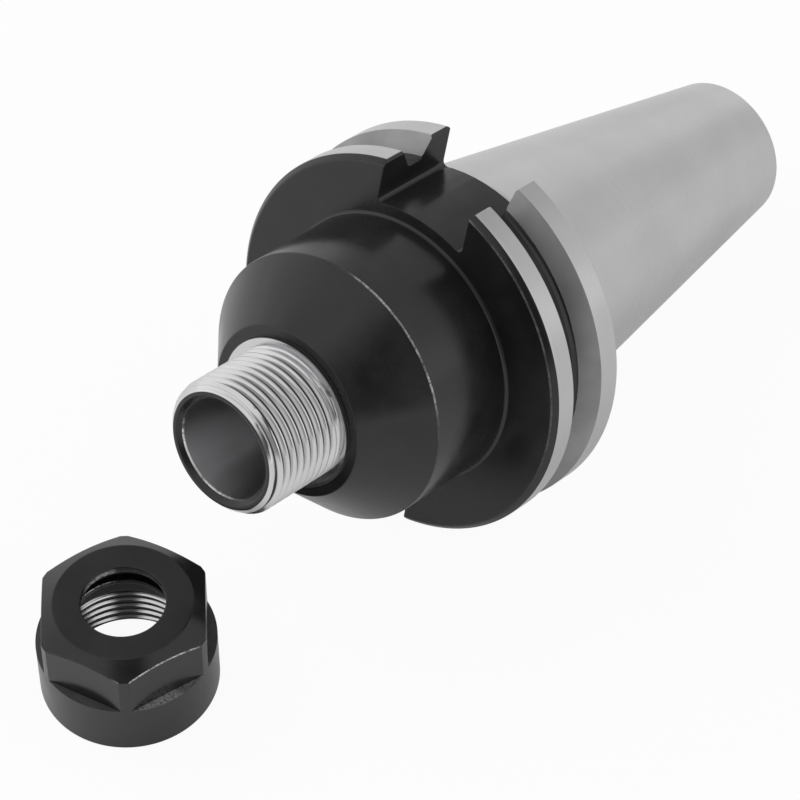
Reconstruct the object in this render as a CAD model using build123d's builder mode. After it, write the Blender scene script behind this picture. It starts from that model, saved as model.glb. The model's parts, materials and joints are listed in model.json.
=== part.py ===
from build123d import *
from math import atan, cos, radians, sin, sqrt, tan
import os

# A collet chuck holder with a size 40 spindle taper and a collet nose for tools up to 10 mm, and its
# clamping nut, taken off. The holder lies on its flange and on the small end of its taper, with its
# nose up, and the nut stands on its collar in front of the nose. The origin is the centre of the
# gauge line, where the taper measures its nominal diameter. Lengths are millimetres.

# Spindle taper, whose diameter grows 7 mm in every 24 mm of length
gauge_diameter = 44.45
taper_per_length = 7 / 24
taper_length = 68.25
taper_end_chamfer = 0.5
relief_depth = 0.6
relief_length = 2.0

# Pull stud hole in the small end: a pilot bore, then the thread's core
pilot_diameter = 16.3
pilot_length = 5.0
stud_core_diameter = 13.6
stud_core_length = 30.0
pilot_chamfer = 0.6

# Flange with its V groove, measured from the gauge line
flange_diameter = 63.5
flange_rear = 3.18
flange_front = 19.05
flange_rear_chamfer = 0.4
flange_front_chamfer = 0.85
groove_centre = 11.1
groove_base_diameter = 56.25
groove_base_width = 2.88
groove_flank_angle = 30

# Drive slots on opposite sides of the flange, one shallower than the other
slot_width = 16.8
upper_slot_floor_radius = 24.5
lower_slot_floor_radius = 22.9
slot_corner_radius = 1.2

# Body in front of the flange, which narrows to the nose
body_diameter = 44.4
body_root_chamfer = 1.0
shoulder_station = 35.2
shoulder_chamfer = 0.3
cone_end_station = 44.4
cone_end_diameter = 28.2
cone_edge_chamfer = 0.3
boss_diameter = 24.8
boss_height = 0.5

# Threaded nose
thread_diameter = 22.0
thread_pitch = 1.5
thread_depth = 0.61 * thread_pitch
nose_length = 59.2
nose_end_diameter = 19.2

# Collet seat and the bore behind it
seat_mouth_diameter = 16.4
seat_half_angle = 8
seat_length = 20.5
mouth_chamfer = 0.8
shank_bore_diameter = 10.5
shank_bore_end = -14.0
coolant_bore_diameter = 6.5
drill_half_angle = 59

# Clamping nut
nut_diameter = 28.0
nut_across_flats = 25.0
nut_length = 19.2
nut_collar_length = 10.0
nut_face_diameter = 21.5
nut_top_chamfer_angle = 30
nut_base_chamfer = 0.5
nut_opening_diameter = 13.0
nut_opening_chamfer = 0.2
nut_lip_length = 1.2
nut_cone_angle = 30
nut_cone_diameter = 16.2
nut_groove_diameter = 17.4
nut_groove_width = 0.7
nut_ring_diameter = 15.6
nut_ring_width = 0.8
nut_ring_offset = 0.45
nut_thread_clearance = 0.1
nut_thread_chamfer = 0.9
nut_turn = 44
nut_ahead = 74.7
nut_aside = -5.3

# How the holder lies: its flange touches at the two edges of the lower slot, its taper at the small end
flange_radius = flange_diameter / 2
gauge_radius = gauge_diameter / 2
taper_end_radius = gauge_radius - taper_length * taper_per_length / 2
rim_station = flange_rear + flange_rear_chamfer
rim_height = sqrt(flange_radius**2 - (slot_width / 2) ** 2)
heel_station = taper_end_chamfer - taper_length
heel_height = taper_end_radius + taper_end_chamfer * taper_per_length / 2
tilt = atan((rim_height - heel_height) / (rim_station - heel_station))
axis_height = rim_height * cos(tilt) - rim_station * sin(tilt)

tool_direction = Vector(cos(tilt), 0, sin(tilt))
tool_axis = Axis((0, 0, 0), tool_direction)
length_plane = Plane((0, 0, 0), x_dir=tool_direction, z_dir=(0, -1, 0))


def across(station):
    """The plane square to the tool axis at a distance from the gauge line, its y upwards."""
    return Plane(tool_direction * station, x_dir=(0, 1, 0), z_dir=tool_direction)


# Outline of the turned body, from the small end to the nose: x is the station, y the radius
body_radius = body_diameter / 2
cone_end_radius = cone_end_diameter / 2
cone_slope = (body_radius - cone_end_radius) / (cone_end_station - shoulder_station)
cone_edge_radius = cone_end_radius + cone_edge_chamfer * cone_slope
groove_depth = flange_radius - groove_base_diameter / 2
groove_half_base = groove_base_width / 2
groove_half_mouth = groove_half_base + groove_depth * tan(radians(groove_flank_angle))
thread_radius = thread_diameter / 2
thread_core_radius = thread_radius - thread_depth
nose_chamfer = thread_radius - nose_end_diameter / 2
nose_base = cone_end_station + boss_height
seat_mouth = nose_length - mouth_chamfer
seat_end = seat_mouth - seat_length
seat_end_radius = seat_mouth_diameter / 2 - seat_length * tan(radians(seat_half_angle))
drill_depth = (shank_bore_diameter - coolant_bore_diameter) / 2 / tan(radians(drill_half_angle))
stud_core_end = stud_core_length - taper_length

with BuildPart() as holder:
    with BuildSketch(length_plane):
        with BuildLine():
            Polyline(
                (-taper_length, 0),
                (-taper_length, taper_end_radius - taper_end_chamfer),
                (heel_station, heel_height),
                (0, gauge_radius),
                (flange_rear - relief_length, gauge_radius),
                (flange_rear - relief_length, gauge_radius - relief_depth),
                (flange_rear, gauge_radius - relief_depth),
                (flange_rear, flange_radius - flange_rear_chamfer),
                (rim_station, flange_radius),
                (groove_centre - groove_half_mouth, flange_radius),
                (groove_centre - groove_half_base, groove_base_diameter / 2),
                (groove_centre + groove_half_base, groove_base_diameter / 2),
                (groove_centre + groove_half_mouth, flange_radius),
                (flange_front - flange_front_chamfer, flange_radius),
                (flange_front, flange_radius - flange_front_chamfer),
                (flange_front, body_radius + body_root_chamfer),
                (flange_front + body_root_chamfer, body_radius),
                (shoulder_station - shoulder_chamfer, body_radius),
                (shoulder_station + shoulder_chamfer, body_radius - shoulder_chamfer * cone_slope),
                (cone_end_station - cone_edge_chamfer, cone_edge_radius),
                (cone_end_station, cone_end_radius - cone_edge_chamfer),
                (cone_end_station, boss_diameter / 2),
                (nose_base, boss_diameter / 2),
                (nose_base, thread_radius),
                (nose_length - nose_chamfer, thread_radius),
                (nose_length, nose_end_diameter / 2),
                (nose_length, 0),
                (-taper_length, 0),
            )
        make_face()
    revolve(axis=tool_axis)
    # Collet seat, shank bore and coolant hole, bored from the nose
    with BuildSketch(length_plane):
        with BuildLine():
            Polyline(
                (nose_length, 0),
                (nose_length, seat_mouth_diameter / 2 + mouth_chamfer),
                (seat_mouth, seat_mouth_diameter / 2),
                (seat_end, seat_end_radius),
                (seat_end, shank_bore_diameter / 2),
                (shank_bore_end, shank_bore_diameter / 2),
                (shank_bore_end - drill_depth, coolant_bore_diameter / 2),
                (stud_core_end, coolant_bore_diameter / 2),
                (stud_core_end, 0),
                (nose_length, 0),
            )
        make_face()
    revolve(axis=tool_axis, mode=Mode.SUBTRACT)
    # Pull stud hole, bored from the small end
    with BuildSketch(length_plane):
        with BuildLine():
            Polyline(
                (-taper_length, 0),
                (-taper_length, pilot_diameter / 2 + pilot_chamfer),
                (pilot_chamfer - taper_length, pilot_diameter / 2),
                (pilot_length - taper_length, pilot_diameter / 2),
                (pilot_length - taper_length, stud_core_diameter / 2),
                (stud_core_end, stud_core_diameter / 2),
                (stud_core_end, 0),
                (-taper_length, 0),
            )
        make_face()
    revolve(axis=tool_axis, mode=Mode.SUBTRACT)
    # Drive slots, milled through the flange down to a round floor
    for side, floor_radius in ((1, upper_slot_floor_radius), (-1, lower_slot_floor_radius)):
        with BuildSketch(across(flange_front)) as slot:
            with Locations((0, side * flange_radius)):
                Rectangle(slot_width, 2 * flange_radius)
            Circle(floor_radius, mode=Mode.SUBTRACT)
            fillet(slot.vertices().group_by(SortBy.DISTANCE)[0], slot_corner_radius)
        extrude(amount=flange_rear - flange_front, mode=Mode.SUBTRACT)

holder.part.label = "holder_body"

# The nut stands on its collar: x is the radius and y the height above the floor in its outline
nut_radius = nut_diameter / 2
nut_face_radius = nut_face_diameter / 2
nut_chamfer_drop = (nut_radius - nut_face_radius) * tan(radians(nut_top_chamfer_angle))
nut_opening_radius = nut_opening_diameter / 2
nut_cone_radius = nut_cone_diameter / 2
nut_groove_radius = nut_groove_diameter / 2
nut_core_radius = thread_core_radius + nut_thread_clearance
lip_base = nut_length - nut_lip_length
cone_base = lip_base - (nut_cone_radius - nut_opening_radius) / tan(radians(nut_cone_angle))
ring_top = cone_base - nut_groove_width
ring_base = ring_top - nut_ring_width
nut_floor = Plane((nut_ahead, nut_aside, -axis_height))
nut_profile = Plane(nut_floor.origin, x_dir=(1, 0, 0), z_dir=(0, -1, 0))

with BuildPart() as nut:
    with BuildSketch(nut_profile):
        with BuildLine():
            Polyline(
                (nut_core_radius + nut_thread_chamfer, 0),
                (nut_radius - nut_base_chamfer, 0),
                (nut_radius, nut_base_chamfer),
                (nut_radius, nut_length - nut_chamfer_drop),
                (nut_face_radius, nut_length),
                (nut_opening_radius + nut_opening_chamfer, nut_length),
                (nut_opening_radius, nut_length - nut_opening_chamfer),
                (nut_opening_radius, lip_base),
                (nut_cone_radius, cone_base),
                (nut_groove_radius, cone_base),
                (nut_groove_radius, ring_top),
                (nut_opening_radius, ring_top),
                (nut_opening_radius, ring_base),
                (nut_core_radius, ring_base),
                (nut_core_radius, nut_thread_chamfer),
                (nut_core_radius + nut_thread_chamfer, 0),
            )
        make_face()
    revolve(axis=Axis(nut_floor.origin, (0, 0, 1)))
    # The ring that pulls the collet out is bored off centre, so that the collet snaps in
    with BuildSketch(nut_floor.offset(ring_base)):
        with Locations((nut_ring_offset, 0)):
            Circle(nut_ring_diameter / 2)
    extrude(amount=nut_ring_width, mode=Mode.SUBTRACT)
    # Six wrench flats, milled down to the collar, which stays round
    with BuildSketch(nut_floor.offset(nut_collar_length)):
        Circle(nut_diameter)
        RegularPolygon(nut_across_flats / 2, 6, major_radius=False, rotation=nut_turn, mode=Mode.SUBTRACT)
    extrude(amount=nut_length - nut_collar_length, mode=Mode.SUBTRACT)

nut.part.label = "clamping_nut"

os.makedirs("parts", exist_ok=True)
export_step(holder.part, "parts/holder_body.step")
export_step(nut.part, "parts/clamping_nut.step")
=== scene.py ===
import json
import math

import bmesh
import bpy
from mathutils import Matrix, Vector


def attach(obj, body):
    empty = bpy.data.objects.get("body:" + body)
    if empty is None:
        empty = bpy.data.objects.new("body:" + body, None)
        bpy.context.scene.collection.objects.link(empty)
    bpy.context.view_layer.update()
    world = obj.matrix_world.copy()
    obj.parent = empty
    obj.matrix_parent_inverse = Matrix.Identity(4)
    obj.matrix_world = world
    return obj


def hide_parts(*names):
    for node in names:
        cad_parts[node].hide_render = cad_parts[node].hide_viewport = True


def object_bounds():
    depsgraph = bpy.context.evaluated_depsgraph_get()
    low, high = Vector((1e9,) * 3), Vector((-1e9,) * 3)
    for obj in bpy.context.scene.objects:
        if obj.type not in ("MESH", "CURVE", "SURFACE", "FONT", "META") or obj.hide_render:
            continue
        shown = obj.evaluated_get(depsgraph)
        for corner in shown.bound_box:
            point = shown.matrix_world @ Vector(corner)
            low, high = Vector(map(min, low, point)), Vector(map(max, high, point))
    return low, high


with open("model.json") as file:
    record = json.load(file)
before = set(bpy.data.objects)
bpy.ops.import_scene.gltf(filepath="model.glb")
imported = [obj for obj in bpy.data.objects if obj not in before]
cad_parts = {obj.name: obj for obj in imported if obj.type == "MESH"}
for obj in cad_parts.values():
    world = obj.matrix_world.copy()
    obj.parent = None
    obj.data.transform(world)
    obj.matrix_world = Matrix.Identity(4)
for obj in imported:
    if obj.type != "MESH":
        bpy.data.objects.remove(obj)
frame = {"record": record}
cad_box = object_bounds()

# The camera looks down on the open nose from ahead and beside it, through a long lens, so that the
# taper runs away to the upper right. The picture is square.
camera_place = Vector((0.285617, 0.235846, 0.416306))
camera_aim = Vector((0.02306, 0.00528, 0.0))
lens = bpy.data.cameras.new("camera")
lens.sensor_width = 36
lens.lens = 157.35
camera = bpy.data.objects.new("camera", lens)
camera.location = camera_place
camera.rotation_euler = (camera_aim - camera_place).to_track_quat("-Z", "Y").to_euler()
bpy.context.scene.collection.objects.link(camera)
bpy.context.scene.camera = camera


class Signal:
    """A socket of a node tree. Sums on it add Math nodes, and add() adds any other node."""

    def __init__(self, tree, socket=None):
        self.tree = tree
        self.socket = socket

    def add(self, kind, settings, inputs, output=0):
        """Adds a node of a kind, makes its settings and then its inputs, and gives one of its outputs."""
        node = self.tree.nodes.new("ShaderNode" + kind)
        for name, value in settings.items():
            setattr(node, name, value)
        for name, value in inputs.items():
            if isinstance(value, Signal):
                self.tree.links.new(value.socket, node.inputs[name])
            else:
                node.inputs[name].default_value = value
        return Signal(self.tree, node.outputs[output] if node.outputs else None)

    def math(self, operation, *values):
        """Adds a Math node for an operation on values."""
        return self.add("Math", {"operation": operation}, dict(enumerate(values)))

    def __add__(self, other):
        return self.math("ADD", self, other)

    def __sub__(self, other):
        return self.math("SUBTRACT", self, other)

    def __rsub__(self, other):
        return self.math("SUBTRACT", other, self)

    def __mul__(self, other):
        return self.math("MULTIPLY", self, other)

    def fade(self, start, end, low=0.0, high=1.0):
        """Runs smoothly from low where it is start to high where it is end."""
        ends = {"Value": self, "From Min": start, "From Max": end, "To Min": low, "To Max": high}
        return self.add("MapRange", {"interpolation_type": "SMOOTHSTEP"}, ends)

    __radd__ = __add__
    __rmul__ = __mul__


# Daylight tent: white cloth on all sides, with the dark gap from top to bottom that the camera looks
# through, a grey panel low ahead of the nose, one high behind and a pale one low behind. Each panel
# has its direction as degrees round from the nose and above the floor, the degrees from there at
# which it starts and is full, and what it multiplies the cloth by. A soft lamp draws the shadows
# on the floor. A pair of values is where a change starts and where it is complete.
overhead_strength = 0.85
overhead_height = (0.1, 0.8)
gap_azimuth = math.radians(47)
gap_sides = (math.sin(math.radians(18)), math.sin(math.radians(7)))
gap_ahead = (0.05, 0.3)
gap_height = (0.0, 0.25)
gap_share = 0.08
grey_panels = (
    (12, 9, 36, 18, 0.3),
    (221, 50, 50, 20, 0.55),
    (166, 17, 28, 8, 0.72),
)
world = bpy.data.worlds.new("tent")
world.use_nodes = True
world.node_tree.nodes.clear()
bpy.context.scene.world = world
tent = Signal(world.node_tree)
way = tent.add("TexCoord", {}, {}, "Generated")
height = tent.add("SeparateXYZ", {}, {0: way}, "Z")
gap_way = Vector((math.cos(gap_azimuth), math.sin(gap_azimuth), 0))
side_way = Vector((-math.sin(gap_azimuth), math.cos(gap_azimuth), 0))
ahead = tent.add("VectorMath", {"operation": "DOT_PRODUCT"}, {0: way, 1: gap_way}, "Value")
aside = tent.add("VectorMath", {"operation": "DOT_PRODUCT"}, {0: way, 1: side_way}, "Value")
gap = tent.math("ABSOLUTE", aside).fade(*gap_sides) * ahead.fade(*gap_ahead) * height.fade(*gap_height)
cloth = height.fade(*overhead_height, 1.0, overhead_strength) * (1 - gap * (1 - gap_share))
for azimuth, elevation, outer, inner, share in grey_panels:
    raised = Matrix.Rotation(-math.radians(elevation), 3, "Y")
    middle = Matrix.Rotation(math.radians(azimuth), 3, "Z") @ raised @ Vector((1, 0, 0))
    nearness = tent.add("VectorMath", {"operation": "DOT_PRODUCT"}, {0: way, 1: middle}, "Value")
    start, full = math.cos(math.radians(outer)), math.cos(math.radians(inner))
    cloth = cloth * nearness.fade(start, full, 1.0, share)
seen = tent.add("LightPath", {}, {}, "Is Camera Ray")
strength = seen + (1 - seen) * cloth
glow = tent.add("Background", {}, {"Color": (1, 1, 1, 1), "Strength": strength})
tent.add("OutputWorld", {}, {"Surface": glow})

lamp = bpy.data.lights.new("soft_lamp", "AREA")
lamp.size = 0.8
lamp.energy = 4.0
lamp_stand = bpy.data.objects.new("soft_lamp", lamp)
lamp_stand.location = (0.25, -0.75, 0.9)
lamp_stand.rotation_euler = (-lamp_stand.location).to_track_quat("-Z", "Y").to_euler()
lamp_stand.visible_glossy = False
bpy.context.scene.collection.objects.link(lamp_stand)
bpy.context.scene.view_settings.view_transform = "Standard"

# The pale floor that both pieces lie on. The camera sees it nearly white, and a part of its own
# colour stays, so that it keeps the soft shadows. The steel reflects it more as it is lit, darker
# under the nose and inside the nut.
floor_size = 6.0
floor_grey = 0.9
floor_share = 0.06
floor_gloss = 0.25
slab = bmesh.new()
bmesh.ops.create_grid(slab, x_segments=1, y_segments=1, size=floor_size / 2)
bmesh.ops.translate(slab, vec=(0, 0, cad_box[0].z), verts=slab.verts)
floor_mesh = bpy.data.meshes.new("floor")
slab.to_mesh(floor_mesh)
slab.free()
floor = bpy.data.objects.new("floor", floor_mesh)
bpy.context.scene.collection.objects.link(floor)

floor_paint = bpy.data.materials.new("floor_paint")
floor_paint.use_nodes = True
floor_paint.node_tree.nodes.clear()
paint = Signal(floor_paint.node_tree)
seen = paint.add("LightPath", {}, {}, "Is Camera Ray")
seen = seen + paint.add("LightPath", {}, {}, "Is Glossy Ray") * floor_gloss
seen = seen + paint.add("LightPath", {}, {}, "Is Transmission Ray")
white = paint.add("Emission", {}, {"Color": (1, 1, 1, 1), "Strength": 1.0})
matt = paint.add("BsdfDiffuse", {}, {"Color": (floor_grey, floor_grey, floor_grey, 1)})
coat = paint.add("MixShader", {}, {0: seen * (1 - floor_share), 1: matt, 2: white})
paint.add("OutputMaterial", {}, {"Surface": coat})
floor_mesh.materials.append(floor_paint)

# The holder is turned, milled and ground from one bar of case-hardened steel: spindle taper, gripper
# flange, neck, cone and threaded nose, with the collet seat and the bores through it. Sizes are in
# millimetres from the gauge line along the tool axis, and as radii from that axis.
millimetre = 0.001
spin_steps = 192
gauge_radius = 22.225
taper_slope = 7 / 48
taper_end = -68.25
taper_chamfer = 0.5
relief_start = 1.18
relief_radius = 21.625
flange_rear = 3.18
flange_front = 19.05
flange_radius = 31.75
rear_chamfer = 0.5
front_chamfer = 0.85
groove_centre = 11.1
groove_half_mouth = 3.533
groove_half_base = 1.44
groove_radius = 28.125
groove_root = 0.58
neck_radius = 22.2
neck_root = 0.6
shoulder_station = 35.2
cone_end = 44.4
cone_end_radius = 14.1
boss_radius = 12.4
nose_base = 44.9
thread_radius = 11.0
thread_end = 58.9
nose_end = 59.2
nose_pitch = 1.5
nose_depth = 0.915
run_out_steps = 32
nose_face_radius = 9.6
mouth_radius = 9.0
seat_mouth = 58.4
seat_mouth_radius = 8.2
seat_end = 37.9
seat_end_radius = 5.319
shank_radius = 5.25
shank_end = -14.0
coolant_radius = 3.25
drill_end = -15.2
stud_core_radius = 6.8
stud_crest_radius = 7.94
stud_pitch = 2.309
stud_core_end = -38.25
pilot_radius = 8.15
pilot_end = -63.25
pilot_chamfer = 0.6
heel_radius = gauge_radius + (taper_end + taper_chamfer) * taper_slope

# Lengths of the rounds on the turned edges
edge_break = 0.12
round_steps = 4
relief_root = 0.15
rear_round = 0.25
groove_round = 0.08
land_round = 0.2
rim_round = 0.3
shoulder_round = 0.18
cone_round = 0.2
boss_round = 0.1
boss_root = 0.15
mouth_round = 0.2

# Outlines of the turned skin, behind and in front of the pull stud's thread. Each corner is its
# station, its radius and the length of the round on it.
outer_outline = [
    (pilot_end, stud_core_radius, 0),
    (pilot_end, pilot_radius, 0),
    (taper_end + pilot_chamfer, pilot_radius, edge_break),
    (taper_end, pilot_radius + pilot_chamfer, edge_break),
    (taper_end, heel_radius - taper_chamfer, edge_break),
    (taper_end + taper_chamfer, heel_radius, edge_break),
    (0, gauge_radius, 0),
    (relief_start, gauge_radius, edge_break),
    (relief_start, relief_radius, relief_root),
    (flange_rear, relief_radius, relief_root),
    (flange_rear, flange_radius - rear_chamfer, rear_round),
    (flange_rear + rear_chamfer, flange_radius, rear_round),
    (groove_centre - groove_half_mouth, flange_radius, groove_round),
    (groove_centre - groove_half_base, groove_radius, groove_root),
    (groove_centre + groove_half_base, groove_radius, groove_root),
    (groove_centre + groove_half_mouth, flange_radius, groove_round),
    (flange_front - front_chamfer, flange_radius, land_round),
    (flange_front, flange_radius - front_chamfer, rim_round),
    (flange_front, neck_radius, neck_root),
    (shoulder_station, neck_radius, shoulder_round),
    (cone_end, cone_end_radius, cone_round),
    (cone_end, boss_radius, boss_round),
    (nose_base, boss_radius, boss_root),
    (nose_base, thread_radius, 0),
]
inner_outline = [
    (thread_end, nose_face_radius + nose_end - thread_end, 0),
    (nose_end, nose_face_radius, edge_break),
    (nose_end, mouth_radius, edge_break),
    (seat_mouth, seat_mouth_radius, mouth_round),
    (seat_end, seat_end_radius, 0),
    (seat_end, shank_radius, 0),
    (shank_end, shank_radius, 0),
    (drill_end, coolant_radius, 0),
    (stud_core_end, coolant_radius, edge_break),
    (stud_core_end, stud_core_radius, 0),
]


def round_corners(shape, corners, size, steps):
    """Rounds corners of an outline."""
    bmesh.ops.bevel(
        shape, geom=corners, offset=size, segments=steps, profile=0.5, affect="VERTICES", material=-1
    )


def break_edges(shape, edges, size):
    """Rounds edges of a shape a little, and gives the faces of the rounds."""
    style = dict(segments=2, profile=0.5, affect="EDGES", clamp_overlap=False, material=-1)
    return bmesh.ops.bevel(shape, geom=edges, offset=size, **style)["faces"]


def pull(tool, travel):
    """Pulls a flat outline along its travel into a solid."""
    pulled = bmesh.ops.extrude_face_region(tool, geom=tool.faces[:], use_keep_orig=True)
    moved = [part for part in pulled["geom"] if isinstance(part, bmesh.types.BMVert)]
    bmesh.ops.translate(tool, vec=travel, verts=moved)
    bmesh.ops.recalc_face_normals(tool, faces=tool.faces)


def turned(outlines, steps):
    """Outlines of corners, rounded and spun about the X axis like a piece on a lathe."""
    shape = bmesh.new()
    for outline in outlines:
        corners = [shape.verts.new((station, 0, radius)) for station, radius, _ in outline]
        for here, there in zip(corners, corners[1:]):
            shape.edges.new((here, there))
        for corner, (_, _, size) in zip(corners, outline):
            if size:
                round_corners(shape, [corner], size, round_steps)
    spun = shape.verts[:] + shape.edges[:]
    about = dict(cent=(0, 0, 0), axis=(1, 0, 0), dvec=(0, 0, 0), angle=2 * math.pi, steps=steps)
    bmesh.ops.spin(shape, geom=spun, use_merge=True, use_duplicate=False, **about)
    return shape


thread_half_angle = math.radians(30)
thread_round = 0.04


def thread_skin(pitch, root, crest, low, high, steps, detail, trim):
    """A V thread spun as a helix between two stations, and pressed flat against both of them. trim
    gives the radius that the thread has at a station, where the piece's own shape cuts into it."""
    root_width = pitch / 8
    flank = abs(crest - root) * math.tan(thread_half_angle)
    ridge = pitch - root_width - 2 * flank
    skin = bmesh.new()
    place = low - 2 * pitch
    corners = [skin.verts.new((place, 0, root))]
    while place < high + pitch / 2:
        for length, radius in ((root_width, root), (flank, crest), (ridge, crest), (flank, root)):
            place += length
            corners.append(skin.verts.new((place, 0, radius)))
    for here, there in zip(corners, corners[1:]):
        skin.edges.new((here, there))
    for corner in corners[1:-1]:
        round_corners(skin, [corner], thread_round, detail)
    long_edges = [edge for edge in skin.edges if edge.calc_length() > flank]
    bmesh.ops.subdivide_edges(skin, edges=long_edges, cuts=detail)
    bmesh.ops.spin(
        skin,
        geom=skin.verts[:] + skin.edges[:],
        cent=(0, 0, 0),
        axis=(1, 0, 0),
        dvec=(pitch / steps, 0, 0),
        angle=2 * math.pi,
        steps=steps,
        use_merge=False,
        use_duplicate=False,
    )
    for point in skin.verts:
        radius = math.hypot(point.co.y, point.co.z)
        station = min(max(point.co.x, low), high)
        factor = trim(station, radius) / radius
        point.co = (station, point.co.y * factor, point.co.z * factor)
    return skin


seam = 0.003


def joined(shape, skins):
    """Adds the skins to a shape, closes the seams between them and turns all faces outwards."""
    for skin in skins:
        mesh = bpy.data.meshes.new("skin")
        skin.to_mesh(mesh)
        skin.free()
        shape.from_mesh(mesh)
        bpy.data.meshes.remove(mesh)
    bmesh.ops.remove_doubles(shape, verts=shape.verts, dist=seam)
    bmesh.ops.recalc_face_normals(shape, faces=shape.faces)
    return shape


def in_order(mesh):
    """Makes a shape of a mesh, with its points and faces in an order that is the same in every run."""
    points = sorted(mesh.vertices, key=lambda point: tuple(point.co))
    rank = {point.index: number for number, point in enumerate(points)}
    loops = []
    for face in mesh.polygons:
        loop = [rank[index] for index in face.vertices]
        first = loop.index(min(loop))
        loops.append(loop[first:] + loop[:first])
    shape = bmesh.new()
    made = [shape.verts.new(point.co) for point in points]
    for loop in sorted(loops):
        shape.faces.new([made[number] for number in loop])
    shape.normal_update()
    return shape


def machined(shape, tools):
    """Takes the volume of each tool away from a shape, and gives the new shape."""
    made = []
    for part in [shape, *tools]:
        mesh = bpy.data.meshes.new("stock")
        part.to_mesh(mesh)
        part.free()
        made.append(bpy.data.objects.new("stock", mesh))
        bpy.context.scene.collection.objects.link(made[-1])
    for tool in made[1:]:
        cut = made[0].modifiers.new("cut", "BOOLEAN")
        cut.solver = "EXACT"
        cut.operation = "DIFFERENCE"
        cut.object = tool
    done = made[0].evaluated_get(bpy.context.evaluated_depsgraph_get())
    result = in_order(done.data)
    for stock in made:
        mesh = stock.data
        bpy.data.objects.remove(stock)
        bpy.data.meshes.remove(mesh)
    return result


nose_run_out_gap = 0.1
nose_run_out = 0.5
stud_run_out = 1.5


def nose_trim(station, radius):
    """The nose thread runs out at the boss, and the chamfer cuts its first turns."""
    run_out = min(max((station - nose_base - nose_run_out_gap) / nose_run_out, 0), 1)
    radius = thread_radius - (thread_radius - radius) * run_out
    return min(radius, nose_face_radius + nose_end - station)


def stud_trim(station, radius):
    """The pull stud's thread runs out at both ends of its bore."""
    near = min(station - pilot_end, stud_core_end - station)
    return stud_core_radius + (radius - stud_core_radius) * min(near / stud_run_out, 1)


# Drive slots, milled across the flange down to round floors, with a chamfer along their outer edges
slot_half_width = 8.4
slot_floors = (24.5, -22.9)
slot_floor_steps = 8
slot_corner = 1.2
slot_corner_steps = 6
slot_chamfer_start = 30.1
slot_flare = 4
slot_overrun = 1
slot_edge = 0.12
slot_tools = []
for floor_radius in slot_floors:
    reach = math.asin(slot_half_width / abs(floor_radius))
    tool = bmesh.new()
    rear = flange_rear - slot_overrun
    first = tool.verts.new((rear, -slot_half_width, floor_radius * math.cos(reach)))
    about = dict(cent=(0, 0, 0), axis=(1, 0, 0), dvec=(0, 0, 0), use_merge=False, use_duplicate=False)
    turn = -2 * reach if floor_radius > 0 else 2 * reach
    arc = bmesh.ops.spin(tool, geom=[first], angle=turn, steps=slot_floor_steps, **about)
    last = next(part for part in arc["geom_last"] if isinstance(part, bmesh.types.BMVert))
    tops = []
    for foot in (first, last):
        for wider in (0, slot_flare):
            side = math.copysign(slot_half_width + wider, foot.co.y)
            top = tool.verts.new((rear, side, math.copysign(slot_chamfer_start + wider, floor_radius)))
            tool.edges.new((tops[-1] if wider else foot, top))
            tops.append(top)
    tool.edges.new((tops[1], tops[3]))
    round_corners(tool, [first, last], slot_corner, slot_corner_steps)
    bmesh.ops.contextual_create(tool, geom=tool.edges[:])
    pull(tool, (flange_front - flange_rear + 2 * slot_overrun, 0, 0))
    slot_tools.append(tool)

# Each thread has its pitch, root, crest and ends, and how finely its rounds are cut
nose_root = thread_radius - nose_depth
nose_skin = thread_skin(
    nose_pitch, nose_root, thread_radius, nose_base, thread_end, spin_steps, detail=2, trim=nose_trim
)
# The thread runs out into the boss low on the right
turn = Matrix.Rotation(-run_out_steps * 2 * math.pi / spin_steps, 3, "X")
bmesh.ops.rotate(nose_skin, cent=(0, 0, 0), matrix=turn, verts=nose_skin.verts)
stud_skin = thread_skin(
    stud_pitch,
    stud_crest_radius,
    stud_core_radius,
    pilot_end,
    stud_core_end,
    spin_steps,
    detail=1,
    trim=stud_trim,
)
blank = joined(turned([outer_outline, inner_outline], spin_steps), [nose_skin, stud_skin])
holder = machined(blank, slot_tools)


# How far a face may lie from where it is looked for, and how far its normal may turn from square
slack = 0.1
close = 0.02
straight = 0.99
slot_bottom = (22.5, 26)


def in_slot(face):
    """Says whether a face is a drive slot's wall, floor or chamfer."""
    middle = face.calc_center_median()
    inside = flange_rear - slack < middle.x < flange_front + slack and abs(face.normal.x) < close
    wall = abs(face.normal.y) > straight and abs(abs(middle.y) - slot_half_width) < close
    chamfer = abs(middle.z) > slot_chamfer_start - slack
    chamfer = chamfer and abs(abs(face.normal.y) - math.sqrt(0.5)) < close / 2
    bottom = slot_bottom[0] < math.hypot(middle.y, middle.z) < slot_bottom[1]
    bottom = bottom and abs(middle.y) < slot_half_width
    return inside and (wall or bottom or chamfer)


def cut_edges(shape, belongs):
    """The edges between the faces of a cut and the rest of a shape."""
    inner = {face for face in shape.faces if belongs(face)}
    return [edge for edge in shape.edges if sum(face in inner for face in edge.link_faces) == 1]


# Points that lie close together on the slots' rims are merged before their edges are broken
rim_merge = 0.08
rim = dict.fromkeys(point for edge in cut_edges(holder, in_slot) for point in edge.verts)
bmesh.ops.remove_doubles(holder, verts=list(rim), dist=rim_merge)
break_edges(holder, cut_edges(holder, in_slot), slot_edge)

# The whole holder leans with its nose up, as the record says, and its place is in its mesh
mounts = {mount["name"]: mount for mount in frame["record"]["mounts"]}
tool_direction = Vector(mounts["nose_thread"]["axis"])
tilt = math.atan2(tool_direction.z, tool_direction.x)


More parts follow.
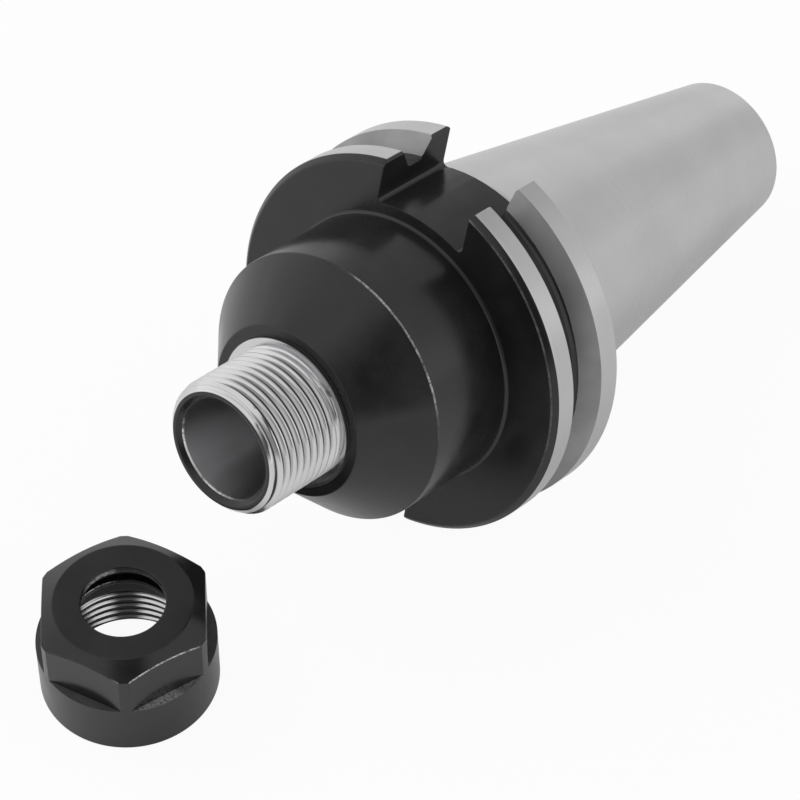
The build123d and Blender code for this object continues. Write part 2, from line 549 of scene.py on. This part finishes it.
def lathe_space(signal, place, turn):
    """Distance along the axis, radius and angle of a turned piece, in millimetres and radians."""
    point = signal.add("TexCoord", {}, {}, "Object")
    centred = signal.add("VectorMath", {"operation": "SUBTRACT"}, {0: point, 1: place})
    scaled = {0: centred, "Scale": 1 / millimetre}
    scaled = signal.add("VectorMath", {"operation": "SCALE"}, scaled, "Vector")
    local = signal.add("Mapping", {}, {"Vector": scaled, "Rotation": turn})
    along = signal.add("SeparateXYZ", {}, {0: local}, "X")
    aside = signal.add("SeparateXYZ", {}, {0: local}, "Y")
    above = signal.add("SeparateXYZ", {}, {0: local}, "Z")
    radius = signal.math("SQRT", aside * aside + above * above)
    angle = signal.math("ARCTAN2", aside, above)
    return local, along, radius, angle


def new_finish(name):
    """An empty material and its first signal."""
    finish = bpy.data.materials.new(name)
    finish.use_nodes = True
    finish.node_tree.nodes.clear()
    return finish, Signal(finish.node_tree)


grain_depth = 0.01 * millimetre
blue_share = 1.01


def steel(signal, tone, metal, roughness, height, bump):
    """Ends a finish with its shader: a grey tone, how metallic and rough it is, and its fine relief."""
    colour = signal.add("CombineColor", {}, {0: tone, 1: tone, 2: tone * blue_share})
    relief = signal.add("Bump", {}, {"Strength": bump, "Distance": grain_depth, "Height": height})
    look = {"Base Color": colour, "Metallic": metal, "Roughness": roughness, "Normal": relief}
    signal.add("OutputMaterial", {}, {"Surface": signal.add("BsdfPrincipled", {}, look)})


def tool_marks(signal, along, radius, angle, count):
    """Fine rings round a turned piece, as many to the millimetre as count says."""
    rings = signal.add("CombineXYZ", {}, {0: along * count, 1: radius * count, 2: angle * 0.7})
    return signal.add("TexNoise", {}, {"Vector": rings, "Scale": 1.0, "Detail": 3.0, "Roughness": 0.6})


def ground_steel(name, place, turn, grey, roughness, mottle):
    """Bright bare steel, with soft clouds and the faint rings of a grinding wheel."""
    finish, signal = new_finish(name)
    local, along, radius, angle = lathe_space(signal, place, turn)
    lines = tool_marks(signal, along, radius, angle, count=5)
    cloud = signal.add("TexNoise", {}, {"Vector": local, "Scale": 0.08, "Detail": 4.0})
    tone = cloud.fade(0.3, 0.7, 1 - mottle, 1 + mottle / 2) * lines.fade(0.25, 0.75, 0.99, 1.01) * grey
    matt = lines.fade(0.2, 0.8, roughness - 0.01, roughness + 0.01)
    steel(signal, tone, metal=1.0, roughness=matt, height=lines, bump=0.06)
    return finish


def thread_steel(name, place, turn, root, crest, chamfer, root_shade, crest_shade, roughness):
    """Bright cut threads. The root is darkened up to a given share of the depth, which is painted shade
    in the grooves. The crest is darkened by a second given share, which is painted shade for the
    shaded floor that it reflects. The chamfer past a station is clear of both."""
    finish, signal = new_finish(name)
    local, along, radius, angle = lathe_space(signal, place, turn)
    lines = tool_marks(signal, along, radius, angle, count=8)
    depth = crest - root
    # Painted shade: darker towards the thread's root and, by the second share, on its crest
    top = radius.fade(root + depth * 0.88, root + depth * 0.97)
    clear = radius.fade(root + depth * (root_shade - 0.12), root + depth * (root_shade + 0.12))
    clear = clear * (1 - top * crest_shade)
    clear = signal.math("MAXIMUM", clear, along.fade(chamfer - 0.2, chamfer))
    tone = (clear * 0.68 + 0.04) * lines.fade(0.25, 0.75, 0.9, 1.05)
    matt = lines.fade(0.2, 0.8, roughness - 0.05, roughness + 0.05)
    steel(signal, tone, metal=1.0, roughness=matt, height=lines, bump=0.3)
    return finish


def black_oxide(name, place, turn):
    """Steel turned and then blackened in a hot bath: a thin dark satin skin over faint tool marks."""
    finish, signal = new_finish(name)
    local, along, radius, angle = lathe_space(signal, place, turn)
    lines = tool_marks(signal, along, radius, angle, count=4)
    cloud = signal.add("TexNoise", {}, {"Vector": local, "Scale": 0.15, "Detail": 3.0})
    tone = cloud.fade(0.3, 0.7, 0.8, 1.25) * lines.fade(0.25, 0.75, 0.9, 1.1) * 0.012
    steel(signal, tone, metal=0.0, roughness=cloud.fade(0.3, 0.7, 0.2, 0.28), height=lines, bump=0.25)
    return finish


def edge_wear_and_glint(name, place, turn, strength, side, spread, skin=0.015):
    """An edge where handling has rubbed the oxide through to the steel in patches. It carries a painted
    highlight that is brightest towards one side, where the light catches the edge. side is the angle
    round the axis at which that highlight is strongest, spread is how far from there it still shows, and
    skin is the grey of the oxide that stays."""
    finish, signal = new_finish(name)
    local, along, radius, angle = lathe_space(signal, place, turn)
    patches = signal.add("TexNoise", {}, {"Vector": local, "Scale": 0.25, "Detail": 2.0})
    specks = signal.add("TexNoise", {}, {"Vector": local, "Scale": 2.5, "Detail": 3.0})
    # Painted highlight: the patches show most at one side round the axis, where the light catches the
    # edge
    here = signal.math("COSINE", angle - side).fade(math.cos(spread), math.cos(spread / 2), 0.05, 1.0)
    wear_glint = patches.fade(0.35, 0.6, 0.3, 1.0) * specks.fade(0.35, 0.6, 0.2, 1.0) * here * strength
    wear_glint = signal.math("MINIMUM", wear_glint, 1.0)
    steel(signal, wear_glint * 0.8 + skin, metal=wear_glint, roughness=0.3, height=specks, bump=0.3)
    return finish


sharp_angle = math.radians(30)


def finished(name, shape, finishes, node):
    """Makes a shape the piece that stands for a node, smooth but for its sharp edges."""
    mesh = bpy.data.meshes.new(name)
    shape.to_mesh(mesh)
    shape.free()
    for finish in finishes:
        mesh.materials.append(finish)
    mesh.shade_smooth()
    mesh.set_sharp_from_angle(angle=sharp_angle)
    piece = bpy.data.objects.new(name, mesh)
    bpy.context.scene.collection.objects.link(piece)
    weigh = piece.modifiers.new("weigh", "WEIGHTED_NORMAL")
    weigh.keep_sharp = True
    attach(piece, "root")
    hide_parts(node)


# The finishes of the holder's faces, in the order of the list below, and the corners where the oxide
# is rubbed off in patches. These corners carry a painted highlight towards the side where the light
# catches them.
# The flank of the groove that faces the nose is bright down to a dark foot.
ground, black, threaded, bored, flank, shoulder_wear_glint, mouth_wear_glint, rim_wear_glint = range(8)
wear_glint_corners = (
    (shoulder_station, neck_radius, shoulder_wear_glint),
    (seat_mouth, seat_mouth_radius, mouth_wear_glint),
    (flange_front, flange_radius - front_chamfer, rim_wear_glint),
    (groove_centre - groove_half_base, groove_radius, rim_wear_glint),
)
wear_glint_width = 0.2
flank_foot = 0.9
towards_nose = 0.5


def holder_finish(face):
    """Which finish a face of the holder has."""
    middle = face.calc_center_median()
    station = middle.x
    radius = math.hypot(middle.y, middle.z)
    for place, away, finish in wear_glint_corners:
        if math.hypot(station - place, radius - away) < wear_glint_width:
            return finish
    if in_slot(face):
        return black
    if station > nose_base and radius > nose_face_radius + slack / 2:
        return threaded
    if radius < seat_mouth_radius + close and taper_end < station < seat_mouth:
        return bored
    if station < flange_rear + rear_chamfer + 2 * slack:
        return ground
    if radius > flange_radius - slack / 2 and station < flange_front - front_chamfer + close:
        return ground
    on_flank = face.normal.x > towards_nose and station < groove_centre
    if on_flank and radius > groove_radius + flank_foot:
        return flank
    return black


for face in holder.faces:
    face.material_index = holder_finish(face)
bmesh.ops.scale(holder, vec=(millimetre, millimetre, millimetre), verts=holder.verts)
bmesh.ops.rotate(holder, cent=(0, 0, 0), matrix=Matrix.Rotation(-tilt, 3, "Y"), verts=holder.verts)
gauge_point = (0, 0, 0)
lean = (0, tilt, 0)
thread_chamfer_end = 58.5
holder_finishes = [
    ground_steel("ground_steel", gauge_point, lean, grey=0.56, roughness=0.28, mottle=0.04),
    black_oxide("black_oxide", gauge_point, lean),
    # The nose thread's darker root is painted shade in its grooves
    thread_steel(
        "thread_steel",
        gauge_point,
        lean,
        root=nose_root,
        crest=thread_radius,
        chamfer=thread_chamfer_end,
        root_shade=0.28,
        crest_shade=0.0,
        roughness=0.17,
    ),
    ground_steel("bored_steel", gauge_point, lean, grey=0.75, roughness=0.25, mottle=0.1),
    ground_steel("flank_steel", gauge_point, lean, grey=0.45, roughness=0.6, mottle=0.2),
    # Painted highlights, partly wear, on the shoulder, the seat's mouth and the flange's rim and groove
    # root
    edge_wear_and_glint("shoulder_wear_glint", gauge_point, lean, strength=0.6, side=math.radians(38), spread=0.75),
    edge_wear_and_glint("mouth_wear_glint", gauge_point, lean, strength=2.5, side=math.radians(-145), spread=1.1),
    edge_wear_and_glint("rim_wear_glint", gauge_point, lean, strength=0.12, side=math.radians(40), spread=1.2),
]
finished("tool_holder", holder, holder_finishes, "holder_body")

# The clamping nut is turned from bar, milled to a hexagon above its round collar and blackened. It is
# off the nose and stands on its collar. Sizes are heights above the floor and radii.
nut_place = Vector((0.0747, -0.0053, cad_box[0].z))
nut_height = 19.2
nut_radius = 14.0
nut_face_radius = 10.75
nut_chamfer_angle = math.radians(30)
nut_chamfer_drop = (nut_radius - nut_face_radius) * math.tan(nut_chamfer_angle)
nut_base_chamfer = 0.5
collar_height = 10.0
across_flats = 25.0
corner_turn = math.radians(44)
opening_radius = 6.5
lip_height = 18.0
cone_radius = 8.1
cone_height = 15.229
recess_radius = 8.7
ring_top = 14.529
ring_base = 13.729
ring_radius = 7.8
ring_offset = 0.45
nut_core = 10.185
nut_thread_chamfer = 0.9
nut_thread_top = 8.7
nut_root = thread_radius + 0.05
ring_round = 0.2
lip_round = 0.1
opening_round = 0.25
face_round = 0.2
flat_round = 0.15
# The outline has a corner a little below the collar's top, so that the flats' tool meets none there
collar_seam = 0.3
nut_outline = [
    (nut_thread_top, nut_core, 0),
    (ring_base, nut_core, 0),
    (ring_base, ring_radius, ring_round),
    (ring_top, ring_radius, ring_round),
    (ring_top, recess_radius, 0),
    (cone_height, recess_radius, 0),
    (cone_height, cone_radius, 0),
    (lip_height, opening_radius, lip_round),
    (nut_height, opening_radius, opening_round),
    (nut_height, nut_face_radius, face_round),
    (nut_height - nut_chamfer_drop, nut_radius, 0),
    (collar_height - collar_seam, nut_radius, 0),
    (nut_base_chamfer, nut_radius, edge_break),
    (0, nut_radius - nut_base_chamfer, edge_break),
    (0, nut_core + nut_thread_chamfer, 0),
]


def nut_trim(height, radius):
    """The nut's thread opens into the chamfer at its foot, and runs out at its top."""
    radius = nut_core + (radius - nut_core) * min(nut_thread_top - height, 1)
    return max(radius, nut_core + nut_thread_chamfer - height)


# The flats are milled with a ring whose opening is the hexagon
flats_tool = bmesh.new()
corner_radius = across_flats / 2 / math.cos(math.radians(30))
bmesh.ops.create_circle(flats_tool, cap_ends=False, segments=6, radius=corner_radius)
bmesh.ops.create_circle(flats_tool, cap_ends=False, segments=6, radius=2 * corner_radius)
bmesh.ops.bridge_loops(flats_tool, edges=flats_tool.edges[:])
pull(flats_tool, (0, 0, nut_height))
bmesh.ops.translate(flats_tool, vec=(0, 0, collar_height), verts=flats_tool.verts)
# A circle's first corner is made straight ahead along Y
turn = Matrix.Rotation(corner_turn - math.pi / 2, 3, "Z")
bmesh.ops.rotate(flats_tool, cent=(0, 0, 0), matrix=turn, verts=flats_tool.verts)

nut_skin = thread_skin(
    nose_pitch, nut_root, nut_core, 0, nut_thread_top, spin_steps, detail=2, trim=nut_trim
)
nut = joined(turned([nut_outline], spin_steps), [nut_skin])
bmesh.ops.rotate(nut, cent=(0, 0, 0), matrix=Matrix.Rotation(-math.pi / 2, 3, "Y"), verts=nut.verts)
# The extraction ring is off centre
ring = [point for point in nut.verts if ring_base - close / 2 < point.co.z < ring_top + close / 2]
ring = [point for point in ring if point.co.xy.length < ring_radius + 2 * slack]
bmesh.ops.translate(nut, vec=(ring_offset, 0, 0), verts=ring)
nut = machined(nut, [flats_tool])


def on_ledge(face):
    """Says whether a face is a ledge below one of the six flats."""
    return face.normal.z > straight and abs(face.calc_center_median().z - collar_height) < close / 2


def on_flat(face):
    """Says whether a face is one of the six flats or a ledge below it."""
    middle = face.calc_center_median()
    flat = middle.z > collar_height and middle.xy.length > across_flats / 2 - 1
    flat = flat and abs(face.normal.z) < close / 2
    flat = flat and abs(middle.xy.dot(face.normal.xy) - across_flats / 2) < close / 2
    return flat or on_ledge(face)


def off_collar(point):
    """Says whether a point lies above the collar or in from its outside."""
    return point.co.z > collar_height + close / 2 or point.co.xy.length < nut_radius - slack


nut_rims = [edge for edge in cut_edges(nut, on_flat) if any(off_collar(point) for point in edge.verts)]
nut_edges = set(break_edges(nut, nut_rims, flat_round))

# The finishes of the nut's faces, in the order of the list below. A broken edge is worn and has a
# painted highlight where it faces up towards the light. The ring has one where it doesn't lie level, and
# so does the lip up to a little below the nut's top. Each highlight is brightest towards one side.
nut_black, nut_threaded, nut_wear_glint, nut_rub_glint, nut_ledge = range(5)
upward = 0.15
level = 0.95
lip_margin = 0.3


def nut_finish(face):
    """Which finish a face of the nut has."""
    middle = face.calc_center_median()
    radius = middle.xy.length
    if radius < nut_core + nut_thread_chamfer + 2 * slack and middle.z < nut_thread_top:
        return nut_threaded
    # Painted highlight, partly wear, on broken edges that face up
    if face in nut_edges and face.normal.z > upward:
        return nut_wear_glint
    if on_ledge(face):
        return nut_ledge
    corner = min(abs(middle.z - ring_top), abs(middle.z - ring_base))
    on_ring = radius < ring_radius + ring_offset + slack and abs(face.normal.z) < level
    in_lip = lip_height - slack < middle.z < nut_height - lip_margin
    in_lip = in_lip and radius < opening_radius + 2 * slack
    if in_lip or (on_ring and corner < ring_round):
        return nut_rub_glint
    return nut_black


for face in nut.faces:
    face.material_index = nut_finish(face)
bmesh.ops.scale(nut, vec=(millimetre, millimetre, millimetre), verts=nut.verts)
bmesh.ops.translate(nut, vec=nut_place, verts=nut.verts)
standing = (0, math.pi / 2, 0)
# Sides round the nut at which the painted highlights on its edges, ledges, ring and lip are strongest
nut_glint_side = math.radians(106)
ring_glint_side = math.radians(-82)
nut_finishes = [
    black_oxide("nut_oxide", nut_place, standing),
    # The nut thread's darker root is painted shade in its grooves, and its dark crest is painted shade
    # for the shaded floor that the crests reflect
    thread_steel(
        "nut_thread_steel",
        nut_place,
        standing,
        root=nut_root,
        crest=nut_core,
        chamfer=nut_height,
        root_shade=0.4,
        crest_shade=0.95,
        roughness=0.12,
    ),
    edge_wear_and_glint("nut_wear_glint_edge", nut_place, standing, strength=0.7, side=nut_glint_side, spread=0.7),
    edge_wear_and_glint("ring_lip_wear_glint", nut_place, standing, strength=1.2, side=ring_glint_side, spread=0.55),
    # The ledges are milled. Their sparkle towards one side is a painted highlight, and their paler skin
    # is painted light on faces that reflect the black flats
    edge_wear_and_glint("milled_ledge_glint", nut_place, standing, strength=0.7, side=nut_glint_side, spread=0.7, skin=0.05),
]
finished("hexagon_nut", nut, nut_finishes, "clamping_nut")
